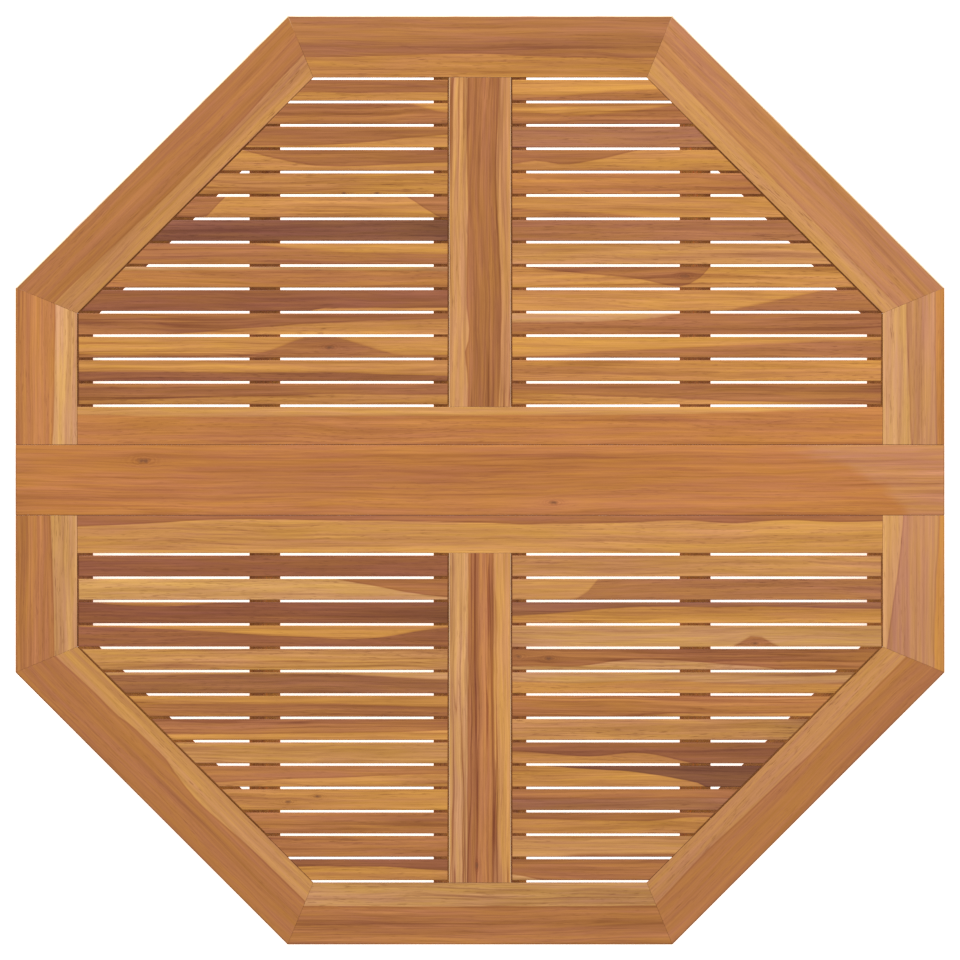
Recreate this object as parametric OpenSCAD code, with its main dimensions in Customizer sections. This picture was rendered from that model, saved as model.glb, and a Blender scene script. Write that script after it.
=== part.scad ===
// Octagonal folding garden table: a fixed centre plank on a trestle, two
// slatted drop leaves hinged to it, and a swinging gate that carries each leaf.
// Millimetres. X runs along the plank, Y across it, Z up, floor at Z = 0.
// The table is drawn with both leaves raised and both gates folded shut.

/* [Table] */
// Width of the octagonal top across its flats
top_w = 1200; // [1180:1:1220]
// Height of the top above the floor
table_h = 750; // [730:1:780]

/* [Top boards] */
// Thickness of the frame boards and of the centre plank
board_t = 24; // [22:1:28]
// Width of the eight mitred frame boards
board_w = 80; // [74:1:84]
// Width of the fixed centre plank
plank_w = 90.8; // [89:0.1:92]
// Gap between the plank and each leaf
leaf_gap = 0.2; // [0.2:0.1:0.6]
// Width of each leaf's inner rail
rail_w = 48.9; // [47:0.1:50]
// Width of each leaf's centre stile
stile_w = 80; // [76:1:84]

/* [Slats] */
// Number of slats in one column
slat_n = 14; // [13:1:15]
// Gap between two slats
slat_gap = 3; // [2:0.1:4]
// Shadow gap at the ends of the slats
end_gap = 1.5; // [1:0.1:2]
// Thickness of a slat
slat_t = 12; // [11:0.5:13]
// Width of the ledgers that the slat ends lie on
ledger_w = 20; // [16:1:24]
// Width of the batten under the middle of each column
batten_w = 40; // [34:1:44]
// Distance of the battens from the middle of the table
batten_x = 278; // [265:1:290]

/* [Base] */
// Thickness of the upper rail and of the lower stretcher
web_t = 26; // [24:1:26]
// Height of the upper rail
upper_rail_h = 70; // [60:1:72]
// Height of the lower stretcher's upper edge above the floor
stretcher_top = 160; // [155:1:170]
// Height of the lower stretcher
stretcher_h = 60; // [50:1:60]
// Thickness of the end posts
post_t = 35; // [32:1:36]
// Width of the end posts
post_w = 86; // [80:1:86]
// Distance of the posts' inner faces from the middle
post_x = 515; // [510:1:520]
// Length of a foot across the table
foot_len = 420; // [380:10:460]
// Height of a foot's upper edge above the floor
foot_top = 60; // [55:1:65]

/* [Gates] */
// Distance of the gate pivots from the centre line
pivot_y = 30; // [30:0.1:30.3]
// Thickness of a gate's stile and leg
gate_t = 26; // [24:1:26]
// Thickness of a gate's rail and brace
gate_rail_t = 22; // [20:1:22]
// Height of a gate's rail, which passes under a hanging leaf
gate_rail_h = 40; // [36:1:42]
// Distance from the pivot to the inner face of the leg
leg_r = 420; // [410:1:425]
// Width of a gate leg
leg_w = 45; // [40:1:50]
// Diameter of the steel pivot pins
pin_d = 10; // [9:0.5:10]
// Radial play of a pivot pin in its bore
pin_play = 0.05; // [0.03:0.01:0.08]

/* [Hinges] */
// Length of a hinge
hinge_len = 60; // [56:1:64]
// Diameter of a hinge knuckle
knuckle_d = 8; // [7.5:0.1:8]
// Diameter of a hinge pin
hinge_pin_d = 4; // [3.5:0.1:4]
// Thickness of a hinge plate
hinge_t = 2; // [1.5:0.1:2]
// Distance of the inner hinges from the middle
hinge_x1 = 110; // [100:1:120]
// Distance of the outer hinges from the middle
hinge_x2 = 345; // [335:1:350]

/* [Hidden] */

$fn = 48;
t8 = tan(22.5);
A = top_w / 2;                    // outer octagon, centre to flat
B = A - board_w;                  // inner edge of the frame boards
C = B - ledger_w;                 // inner edge of the ledgers
ho = A * t8;                      // half sides of the three octagons
hi = B * t8;
hc = C * t8;
d_in = B + hi;                    // |x| + |y| on the inner diagonal edge
d_led = C + hc;                   // the same on the ledgers' inner edge
z_top = table_h;
z_low = table_h - board_t;        // underside of the boards
z_slat = table_h - slat_t;        // underside of the slats
axis_y = plank_w / 2 + leaf_gap / 2;
leaf_y = plank_w / 2 + leaf_gap;
rail_y = leaf_y + rail_w;         // outer edge of the inner rail
slat_w = (B - rail_y - (slat_n + 1) * slat_gap) / slat_n;
web = web_t / 2;
block_t = 26;                     // height of the pivot blocks
tenon_t = 12;
tenon_l = 15;
z_ub = z_low - block_t;           // underside of the upper pivot blocks
z_sl = stretcher_top - stretcher_h; // underside of the stretcher
z_lb = z_sl - block_t;            // underside of the lower pivot block
gate_lo = z_sl + 1;
gate_hi = z_ub - 1;
gate_rail_z = gate_lo + 23;       // underside of a gate's rail
gate_rail_top = gate_rail_z + gate_rail_h;
brace_r = 230;                    // where a brace's upper edge leaves the rail
brace_w = 55;                     // width of a brace's foot on the rail
brace_rise = 197;                 // rise of that edge to the leg
hinge_xs = [-hinge_x2, -hinge_x1, hinge_x1, hinge_x2];
kr = knuckle_d / 2;
teak = [0.70, 0.48, 0.27];
teak_dark = [0.52, 0.33, 0.19];
teak_light = [0.80, 0.62, 0.38];
steel = [0.62, 0.63, 0.65];
brass = [0.72, 0.60, 0.32];
rubber = [0.16, 0.16, 0.17];

// the front half is the rear half turned round the middle of the table
module front() { rotate([0, 0, 180]) children(); }

// a flat board from a plan outline
module board(pts, z0, z1) {
  translate([0, 0, z0]) linear_extrude(height = z1 - z0) polygon(pts);
}

// a box from two opposite corners
module blk(a, b) { translate(a) cube(b - a); }

// an upright hole or peg
module rod(x, y, z0, z1, d) { translate([x, y, z0]) cylinder(h = z1 - z0, d = d); }

// countersunk screw: head face at z, pointing up (dir 1) or down (dir -1)
module screw(x, y, z, dir, d, len, play = 0) {
  translate([x, y, z]) rotate([dir > 0 ? 0 : 180, 0, 0]) {
    translate([0, 0, -play * 10]) cylinder(h = d * 0.6 + play * 10, d1 = d * 2 + play * 22, d2 = d + play * 2);
    cylinder(h = len + play * 10, d = d + play * 2);
  }
}

// ------------------------------------------------------------ base
base_screw_at = [for (sx = [-1, 1]) for (sy = [-1, 1]) [sx * (post_x - 15), sy * 28, sx * 20]];

module centre_plank() color(teak) difference() {
  blk([-A, -plank_w / 2, z_low], [A, plank_w / 2, z_top]);
  for (s = [-1, 1]) for (x = hinge_xs) {
    translate([x - hinge_len / 2 - 1, s > 0 ? axis_y - kr - 0.5 : -axis_y, z_low - 1])
      cube([hinge_len + 2, kr + 0.5, kr + 1.5]);
    for (dx = [-20, 20]) screw(x + dx, s * (axis_y - 14.5), z_low - hinge_t, 1, 3, 16, 0.05);
  }
  for (p = base_screw_at) {
    screw(p[0], p[1], z_ub, 1, 5, 42, 0.05);
    screw(p[2], p[1], z_ub, 1, 5, 42, 0.05);
  }
}

module upper_rail() color(teak_dark) {
  blk([-post_x, -web, z_low - upper_rail_h], [post_x, web, z_low]);
  for (s = [0, 1]) mirror([s, 0, 0])
    blk([post_x, -tenon_t / 2, z_low - upper_rail_h + 10], [post_x + tenon_l, tenon_t / 2, z_low - 10]);
}

module lower_stretcher() color(teak_dark) difference() {
  union() {
    blk([-post_x, -web, stretcher_top - stretcher_h], [post_x, web, stretcher_top]);
    for (s = [0, 1]) mirror([s, 0, 0])
      blk([post_x, -tenon_t / 2, stretcher_top - stretcher_h + 10], [post_x + tenon_l, tenon_t / 2, stretcher_top - 10]);
  }
  for (x = [-20, 20]) screw(x, 0, z_lb, 1, 5, 46, 0.05);
}

module end_post() difference() {
  union() {
    blk([post_x, -post_w / 2, foot_top], [post_x + post_t, post_w / 2, z_low]);
    blk([post_x + 8, -25, foot_top - 30], [post_x + post_t - 8, 25, foot_top]);
  }
  blk([post_x - 1, -tenon_t / 2, z_low - upper_rail_h + 10], [post_x + tenon_l, tenon_t / 2, z_low - 10]);
  blk([post_x - 1, -tenon_t / 2, stretcher_top - stretcher_h + 10], [post_x + tenon_l, tenon_t / 2, stretcher_top - 10]);
}
module right_end_post() color(teak_dark) end_post();
module left_end_post() color(teak_dark) mirror([1, 0, 0]) end_post();

foot_x0 = post_x - 3;
foot_x1 = post_x + post_t + 3;
module foot() difference() {
  translate([foot_x0, 0, 0]) rotate([90, 0, 90]) linear_extrude(height = foot_x1 - foot_x0)
    polygon([[-foot_len / 2, 8], [foot_len / 2, 8], [foot_len / 2, foot_top - 26],
      [foot_len / 2 - 50, foot_top], [50 - foot_len / 2, foot_top], [-foot_len / 2, foot_top - 26]]);
  blk([post_x + 8, -25, foot_top - 30], [post_x + post_t - 8, 25, foot_top + 1]);
  blk([foot_x0 - 1, -foot_len / 2 + 75, 7], [foot_x1 + 1, foot_len / 2 - 75, 16]);
}
module right_foot() color(teak) foot();
module left_foot() color(teak) mirror([1, 0, 0]) foot();

module foot_pads() color(rubber)
  for (sx = [0, 1]) for (sy = [0, 1]) mirror([sx, 0, 0]) mirror([0, sy, 0])
    blk([foot_x0 + 4, foot_len / 2 - 65, 0], [foot_x1 - 4, foot_len / 2 - 10, 8]);

module plank_cleats() color(teak)
  for (sx = [0, 1]) for (sy = [0, 1]) mirror([sx, 0, 0]) mirror([0, sy, 0]) difference() {
    blk([post_x - 30, web, z_ub], [post_x, 43, z_low]);
    screw(post_x - 15, 28, z_ub, 1, 5, 42, 0.05);
  }

module upper_pivot_blocks() color(teak_dark)
  for (sy = [0, 1]) mirror([0, sy, 0]) difference() {
    blk([-30, web, z_ub], [30, 43, z_low]);
    rod(0, pivot_y, z_ub - 1, z_low - 4, pin_d + 2 * pin_play);
    for (x = [-20, 20]) screw(x, 28, z_ub, 1, 5, 42, 0.05);
  }

module lower_pivot_block() color(teak_dark) difference() {
  blk([-30, -43, z_lb], [30, 43, z_sl]);
  for (s = [-1, 1]) rod(0, s * pivot_y, z_lb + 4, z_sl + 1, pin_d + 2 * pin_play);
  for (x = [-20, 20]) screw(x, 0, z_lb, 1, 5, 46, 0.05);
}

module pivot_pins() color(steel) for (s = [-1, 1]) {
  rod(0, s * pivot_y, gate_hi - 20, z_low - 4.5, pin_d);
  rod(0, s * pivot_y, z_lb + 4.5, gate_lo + 20, pin_d);
}

module pivot_washers() color(brass) for (s = [-1, 1]) difference() {
  rod(0, s * pivot_y, z_sl, z_sl + 0.9, 22);
  rod(0, s * pivot_y, z_sl - 1, z_sl + 2, pin_d + 0.4);
}

module base_screws() color(steel) {
  for (p = base_screw_at) {
    screw(p[0], p[1], z_ub, 1, 5, 41);
    screw(p[2], p[1], z_ub, 1, 5, 41);
  }
  for (x = [-20, 20]) screw(x, 0, z_lb, 1, 5, 45);
}

// ------------------------------------------------------------ hinges
k1 = hinge_len / 6;
// the half of a hinge that is fixed to the plank: two outer knuckles
module plank_half() difference() {
  union() {
    blk([-hinge_len / 2, axis_y - 25, z_low - hinge_t], [hinge_len / 2, axis_y - kr - 0.3, z_low]);
    for (s = [-1, 1]) {
      translate([s > 0 ? k1 + 0.2 : -hinge_len / 2, axis_y, z_low]) rotate([0, 90, 0])
        cylinder(h = hinge_len / 2 - k1 - 0.2, d = knuckle_d);
      translate([s > 0 ? k1 + 0.2 : -hinge_len / 2, axis_y - kr - 1, z_low - hinge_t])
        cube([hinge_len / 2 - k1 - 0.2, kr + 1, hinge_t]);
    }
  }
  translate([-hinge_len, axis_y, z_low]) rotate([0, 90, 0]) cylinder(h = 2 * hinge_len, d = hinge_pin_d + 0.1);
  for (dx = [-20, 20]) screw(dx, axis_y - 14.5, z_low - hinge_t, 1, 3, 16, 0.05);
}
// the half that is fixed to the leaf: one middle knuckle
module leaf_half() difference() {
  union() {
    blk([-hinge_len / 2, axis_y + kr + 0.3, z_low - hinge_t], [hinge_len / 2, axis_y + 25, z_low]);
    translate([-k1, axis_y, z_low]) rotate([0, 90, 0]) cylinder(h = 2 * k1, d = knuckle_d);
    blk([-k1, axis_y, z_low - hinge_t], [k1, axis_y + kr + 1, z_low]);
  }
  translate([-hinge_len, axis_y, z_low]) rotate([0, 90, 0]) cylinder(h = 2 * hinge_len, d = hinge_pin_d + 0.1);
  for (dx = [-20, 20]) screw(dx, axis_y + 14.5, z_low - hinge_t, 1, 3, 16, 0.05);
}

module plank_hinge_plates() color(steel) for (a = [0, 180]) rotate([0, 0, a])
  for (x = hinge_xs) translate([x, 0, 0]) plank_half();

module hinge_pins() color(steel) for (a = [0, 180]) rotate([0, 0, a])
  for (x = hinge_xs) translate([x - hinge_len / 2, axis_y, z_low]) rotate([0, 90, 0])
    cylinder(h = hinge_len, d = hinge_pin_d);

module plank_hinge_screws() color(brass) for (a = [0, 180]) rotate([0, 0, a])
  for (x = hinge_xs) for (dx = [-20, 20]) screw(x + dx, axis_y - 14.5, z_low - hinge_t, 1, 3, 15);

module leaf_hinge_plates() for (x = hinge_xs) translate([x, 0, 0]) leaf_half();
module leaf_hinge_screws() for (x = hinge_xs) for (dx = [-20, 20])
  screw(x + dx, axis_y + 14.5, z_low - hinge_t, 1, 3, 15);

// ------------------------------------------------------------ one leaf
module outer_board() board([[-ho, A], [ho, A], [hi, B], [-hi, B]], z_low, z_top);
module diagonal(s) board([[s * ho, A], [s * A, ho], [s * B, hi], [s * hi, B]], z_low, z_top);
module end_board(s) board([[s * A, ho], [s * A, leaf_y], [s * B, leaf_y], [s * B, hi]], z_low, z_top);

module inner_rail() difference() {
  blk([-B, leaf_y, z_low], [B, rail_y, z_top]);
  for (x = hinge_xs) {
    translate([x - hinge_len / 2 - 1, leaf_y - 1, z_low - 1]) cube([hinge_len + 2, axis_y + kr + 1.5 - leaf_y, kr + 1.5]);
    for (dx = [-20, 20]) screw(x + dx, axis_y + 14.5, z_low - hinge_t, 1, 3, 16, 0.05);
  }
}

module centre_stile() blk([-stile_w / 2, rail_y, z_low], [stile_w / 2, B, z_top]);

// rows whose slat lies over the batten, each with one screw from below
function slat_y(i) = rail_y + slat_gap + i * (slat_w + slat_gap);
screw_rows = [for (i = [0 : slat_n - 1]) if (slat_y(i) + slat_w < d_in - batten_x - batten_w / 2) i];

// a batten runs from the inner rail to the diagonal board
bx0 = batten_x - batten_w / 2;
bx1 = batten_x + batten_w / 2;
module battens() for (s = [-1, 1]) difference() {
  board([[s * bx0, rail_y], [s * bx1, rail_y], [s * bx1, d_in - bx1], [s * bx0, d_in - bx0]],
    z_low, z_slat);
  for (i = screw_rows) screw(s * batten_x, slat_y(i) + slat_w / 2, z_low, 1, 4, 19, 0.05);
}

// the end ledgers stop just short of the mitre with the diagonal ledgers, which
// run as far as the battens
module edge_ledgers() for (s = [-1, 1]) {
  board([[s * B, rail_y], [s * B, hi - 0.5], [s * C, hc - 0.5], [s * C, rail_y]], z_low, z_slat);
  board([[s * B, hi], [s * bx1, d_in - bx1], [s * bx1, d_led - bx1], [s * C, hc]], z_low, z_slat);
}

module stile_ledgers() for (s = [-1, 1])
  board([[s * stile_w / 2, rail_y], [s * (stile_w / 2 + ledger_w), rail_y],
    [s * (stile_w / 2 + ledger_w), B], [s * stile_w / 2, B]], z_low, z_slat);

// a slat runs from the centre stile to the end board or the diagonal board; the
// outermost ones, beyond the ledgers, butt against the diagonal board
slat_x0 = stile_w / 2 + end_gap;
slat_x1 = B - end_gap;
slat_d = d_in - end_gap * sqrt(2);
module slats(s) for (i = [0 : slat_n - 1]) {
  y0 = slat_y(i);
  y1 = y0 + slat_w;
  d = y0 > d_in - bx1 ? d_in : slat_d;
  xa = min(slat_x1, d - y0);
  xb = min(slat_x1, d - y1);
  yc = slat_d - slat_x1;
  pts = (yc > y0 && yc < y1)
    ? [[slat_x0, y0], [xa, y0], [slat_x1, yc], [xb, y1], [slat_x0, y1]]
    : [[slat_x0, y0], [xa, y0], [xb, y1], [slat_x0, y1]];
  difference() {
    board([for (p = pts) [s * p[0], p[1]]], z_slat, z_top);
    if (len([for (k = screw_rows) if (k == i) k]) > 0)
      screw(s * batten_x, y0 + slat_w / 2, z_low, 1, 4, 19, 0.05);
  }
}

module slat_screws() for (s = [-1, 1]) for (i = screw_rows)
  screw(s * batten_x, slat_y(i) + slat_w / 2, z_low, 1, 4, 18);

// block that the open gate's leg comes to rest against
module gate_stop() blk([-stile_w / 2 + 2, pivot_y + leg_r + 5, z_low - 20],
  [-gate_t / 2 - 1, pivot_y + leg_r + leg_w - 5, z_low]);

// ------------------------------------------------------------ one gate
// square with rounded corners, built from two bars and four discs
module soft_square(w, r) {
  square([w, w - 2 * r], center = true);
  square([w - 2 * r, w], center = true);
  for (x = [-1, 1]) for (y = [-1, 1]) translate([x * (w / 2 - r), y * (w / 2 - r)]) circle(r = r);
}

module gate_mortise(x, dir)
  translate([dir > 0 ? x - 1 : x - tenon_l, pivot_y - tenon_t / 2, gate_rail_z + 6])
    cube([tenon_l + 1, tenon_t, gate_rail_h - 12]);

module gate_stile() difference() {
  translate([0, pivot_y, gate_lo]) linear_extrude(height = gate_hi - gate_lo) soft_square(gate_t, 8);
  rod(0, pivot_y, gate_lo - 1, gate_lo + 21, pin_d + 2 * pin_play);
  rod(0, pivot_y, gate_hi - 21, gate_hi + 1, pin_d + 2 * pin_play);
  gate_mortise(gate_t / 2, -1);
}

module gate_rail() {
  blk([gate_t / 2, pivot_y - gate_rail_t / 2, gate_rail_z], [leg_r, pivot_y + gate_rail_t / 2, gate_rail_top]);
  blk([gate_t / 2 - tenon_l, pivot_y - tenon_t / 2, gate_rail_z + 6],
    [leg_r + tenon_l, pivot_y + tenon_t / 2, gate_rail_top - 6]);
}

// knee brace between the rail and the leg
module gate_brace() translate([0, pivot_y + gate_rail_t / 2, 0]) rotate([90, 0, 0])
  linear_extrude(height = gate_rail_t) polygon([
    [brace_r, gate_rail_top], [brace_r + brace_w, gate_rail_top],
    [leg_r, gate_rail_top + brace_rise * (1 - brace_w / (leg_r - brace_r))],
    [leg_r, gate_rail_top + brace_rise]]);

module gate_leg() difference() {
  blk([leg_r, pivot_y - gate_t / 2, 3], [leg_r + leg_w, pivot_y + gate_t / 2, z_low - 1]);
  gate_mortise(leg_r, 1);
}

module gate_glide() rod(leg_r + leg_w / 2, pivot_y, 0, 3, 20);

centre_plank();
upper_rail();
lower_stretcher();
left_end_post();
right_end_post();
left_foot();
right_foot();
foot_pads();
plank_cleats();
upper_pivot_blocks();
lower_pivot_block();
pivot_pins();
pivot_washers();
plank_hinge_plates();
hinge_pins();
plank_hinge_screws();
base_screws();

color(teak_dark) outer_board();  // rear_outer_board
color(teak) diagonal(-1);  // rear_left_diagonal
color(teak) diagonal(1);  // rear_right_diagonal
color(teak_dark) end_board(-1);  // rear_left_end_board
color(teak_dark) end_board(1);  // rear_right_end_board
color(teak_light) inner_rail();  // rear_inner_rail
color(teak) centre_stile();  // rear_centre_stile
color(teak_light) battens();  // rear_battens
color(teak_light) edge_ledgers();  // rear_edge_ledgers
color(teak_light) stile_ledgers();  // rear_stile_ledgers
color(teak) slats(-1);  // rear_left_slats
color(teak_light) slats(1);  // rear_right_slats
color(steel) leaf_hinge_plates();  // rear_hinge_plates
color(brass) leaf_hinge_screws();  // rear_hinge_screws
color(steel) slat_screws();  // rear_slat_screws
color(teak_dark) gate_stop();  // rear_gate_stop

color(teak_dark) front() outer_board();  // front_outer_board
color(teak) front() diagonal(1);  // front_left_diagonal
color(teak) front() diagonal(-1);  // front_right_diagonal
color(teak_dark) front() end_board(1);  // front_left_end_board
color(teak_dark) front() end_board(-1);  // front_right_end_board
color(teak_light) front() inner_rail();  // front_inner_rail
color(teak) front() centre_stile();  // front_centre_stile
color(teak_light) front() battens();  // front_battens
color(teak_light) front() edge_ledgers();  // front_edge_ledgers
color(teak_light) front() stile_ledgers();  // front_stile_ledgers
color(teak) front() slats(1);  // front_left_slats
color(teak_light) front() slats(-1);  // front_right_slats
color(steel) front() leaf_hinge_plates();  // front_hinge_plates
color(brass) front() leaf_hinge_screws();  // front_hinge_screws
color(steel) front() slat_screws();  // front_slat_screws
color(teak_dark) front() gate_stop();  // front_gate_stop

color(teak) gate_stile();  // rear_gate_stile
color(teak_light) gate_rail();  // rear_gate_rail
color(teak_light) gate_brace();  // rear_gate_brace
color(teak_dark) gate_leg();  // rear_gate_leg
color(rubber) gate_glide();  // rear_gate_glide
color(teak) front() gate_stile();  // front_gate_stile
color(teak_light) front() gate_rail();  // front_gate_rail
color(teak_light) front() gate_brace();  // front_gate_brace
color(teak_dark) front() gate_leg();  // front_gate_leg
color(rubber) front() gate_glide();  // front_gate_glide
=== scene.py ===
"""Octagonal folding garden table in oiled teak: a fixed centre plank on a trestle,
two slatted drop leaves and two swinging gates. Metres, floor at Z = 0."""
import math
import bpy
import bmesh
from mathutils import Vector, Matrix


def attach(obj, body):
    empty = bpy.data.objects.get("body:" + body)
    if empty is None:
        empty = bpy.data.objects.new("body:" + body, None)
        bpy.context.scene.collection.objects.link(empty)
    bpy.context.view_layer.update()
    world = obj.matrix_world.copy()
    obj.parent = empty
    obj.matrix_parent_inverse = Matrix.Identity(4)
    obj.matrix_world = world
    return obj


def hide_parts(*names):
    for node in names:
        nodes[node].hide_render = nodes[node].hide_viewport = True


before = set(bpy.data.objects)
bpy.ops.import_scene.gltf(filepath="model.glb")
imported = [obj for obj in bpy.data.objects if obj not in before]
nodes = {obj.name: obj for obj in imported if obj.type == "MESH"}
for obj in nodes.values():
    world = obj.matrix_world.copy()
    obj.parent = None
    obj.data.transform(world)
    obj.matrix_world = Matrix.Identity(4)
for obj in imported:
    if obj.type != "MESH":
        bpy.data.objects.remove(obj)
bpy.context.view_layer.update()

MM = 0.001

# ---------------------------------------------------------------- measures, mm
A, B, C = 600.0, 520.0, 500.0            # octagon: outer, inner edge of the boards, ledgers
T8 = math.tan(math.radians(22.5))
HO, HI, HC = A * T8, B * T8, C * T8
D_IN = B + HI                            # |x| + |y| on the inner diagonal edge
D_LED = C + HC
Z_TOP, Z_LOW, Z_SLAT = 750.0, 726.0, 738.0
PLANK = 45.48                            # half the width of the centre plank
LEAF = 45.52                             # where a leaf begins
RAIL = 94.5                              # outer edge of the inner rail
STILE = 40.0                             # half the width of the centre stile
SLAT_N, SLAT_GAP, END_GAP = 14, 3.0, 1.5
SLAT_W = (B - RAIL - (SLAT_N + 1) * SLAT_GAP) / SLAT_N
LEDGER = 20.0
BX0, BX1 = 258.0, 298.0                  # the two edges of a batten
BRACE = 46.0                             # slope of a gate's brace, degrees
HINGES = (-345.0, -110.0, 110.0, 345.0)


def slat_y(i):
    return RAIL + SLAT_GAP + i * (SLAT_W + SLAT_GAP)


# ---------------------------------------------------------------- wood tones
def lin(c):
    return [x / 12.92 if x <= 0.04045 else ((x + 0.055) / 1.055) ** 2.4 for x in c]


TONES = {                                # oiled teak, from sapwood to the darkest heartwood
    "T": (0.825, 0.610, 0.388),
    "G": (0.815, 0.570, 0.298),
    "O": (0.768, 0.508, 0.282),
    "B": (0.698, 0.450, 0.260),
    "M": (0.672, 0.440, 0.298),
    "R": (0.620, 0.378, 0.242),
    "W": (0.780, 0.550, 0.385),
    "S": (0.855, 0.640, 0.430),
    "U": (0.870, 0.655, 0.405),
    "Y": (0.750, 0.482, 0.258),
    "P": (0.540, 0.335, 0.232),
}


def tone(letters):
    """The mean of the tones named by the letters, linear."""
    cs = [lin(TONES[k]) for k in letters]
    return [sum(c[j] for c in cs) / len(cs) for j in range(3)]


# ---------------------------------------------------------------- node trees
class Tree:
    """Short calls for building one material."""

    def __init__(self, name):
        self.mat = bpy.data.materials.new(name)
        self.mat.use_nodes = True
        self.nt = self.mat.node_tree
        self.nt.nodes.clear()
        out = self.node("ShaderNodeOutputMaterial")
        self.bsdf = self.node("ShaderNodeBsdfPrincipled")
        self.nt.links.new(self.bsdf.outputs[0], out.inputs[0])

    def node(self, kind, **kw):
        n = self.nt.nodes.new(kind)
        for k, v in kw.items():
            setattr(n, k, v)
        return n

    def put(self, socket, value):
        if isinstance(value, bpy.types.NodeSocket):
            self.nt.links.new(value, socket)
        else:
            socket.default_value = value

    def math(self, op, *args, clamp=False):
        n = self.node("ShaderNodeMath", operation=op, use_clamp=clamp)
        for i, a in enumerate(args):
            self.put(n.inputs[i], a)
        return n.outputs[0]

    def vec(self, op, a, b):
        n = self.node("ShaderNodeVectorMath", operation=op)
        self.put(n.inputs[0], a)
        self.put(n.inputs[1], b)
        return n.outputs[0]

    def mix(self, fac, a, b, mode="MIX"):
        n = self.node("ShaderNodeMix", data_type="RGBA", blend_type=mode)
        self.put(n.inputs[0], fac)
        self.put(n.inputs[6], a if isinstance(a, bpy.types.NodeSocket) else (*a, 1.0))
        self.put(n.inputs[7], b if isinstance(b, bpy.types.NodeSocket) else (*b, 1.0))
        return n.outputs[2]

    def noise(self, vec, scale=(1, 1, 1), detail=2.0, rough=0.5, distortion=0.0):
        n = self.node("ShaderNodeTexNoise", noise_dimensions="3D")
        self.put(n.inputs["Vector"], self.vec("MULTIPLY", vec, scale))
        n.inputs["Scale"].default_value = 1.0
        n.inputs["Detail"].default_value = detail
        n.inputs["Roughness"].default_value = rough
        n.inputs["Distortion"].default_value = distortion
        return n.outputs[0]

    def span(self, value, f0, f1, t0=0.0, t1=1.0, smooth=True):
        n = self.node("ShaderNodeMapRange", clamp=True,
                      interpolation_type="SMOOTHSTEP" if smooth else "LINEAR")
        for i, v in enumerate((value, f0, f1, t0, t1)):
            self.put(n.inputs[i], v)
        return n.outputs[0]

    def attribute(self, name, out="Vector"):
        n = self.node("ShaderNodeAttribute", attribute_type="GEOMETRY", attribute_name=name)
        return n.outputs[out]

    def split(self, vec):
        n = self.node("ShaderNodeSeparateXYZ")
        self.put(n.inputs[0], vec)
        return n.outputs

    def join(self, x, y, z):
        n = self.node("ShaderNodeCombineXYZ")
        for i, v in enumerate((x, y, z)):
            self.put(n.inputs[i], v)
        return n.outputs[0]


def ridge(t, n, power):
    """1 along the middle level of a noise, falling off quickly: thin winding lines."""
    r = t.math("SUBTRACT", 1.0, t.math("ABSOLUTE", t.math("MULTIPLY_ADD", n, 2.0, -1.0)))
    return t.math("POWER", r, power)


def knot(t, p, name):
    """Bends the grain coordinate round a knot; gives the new coordinate and the knot's dark parts."""
    dx, dy, size = t.split(t.attribute(name))
    a = t.math("DIVIDE", dx, t.math("MULTIPLY", size, 2.4))
    b = t.math("DIVIDE", dy, size)
    r2 = t.math("ADD", t.math("MULTIPLY", a, a), t.math("MULTIPLY", b, b))
    near = t.math("EXPONENT", t.math("MULTIPLY", r2, -0.8))
    shift = t.math("MULTIPLY", t.math("MULTIPLY", dy, near), -0.75)
    p = t.vec("ADD", p, t.join(0.0, shift, 0.0))
    wob = t.math("MULTIPLY", t.math("SUBTRACT", t.noise(p, (260, 420, 420), 1.0), 0.5), 0.55)
    r = t.math("ADD", t.math("SQRT", r2), wob)
    core = t.span(r, 0.60, 0.05)
    rings = t.math("MULTIPLY", t.math("MULTIPLY_ADD", t.math("SINE", t.math("MULTIPLY", r, 17.0)), 0.5, 0.5), near)
    return p, core, rings


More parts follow.
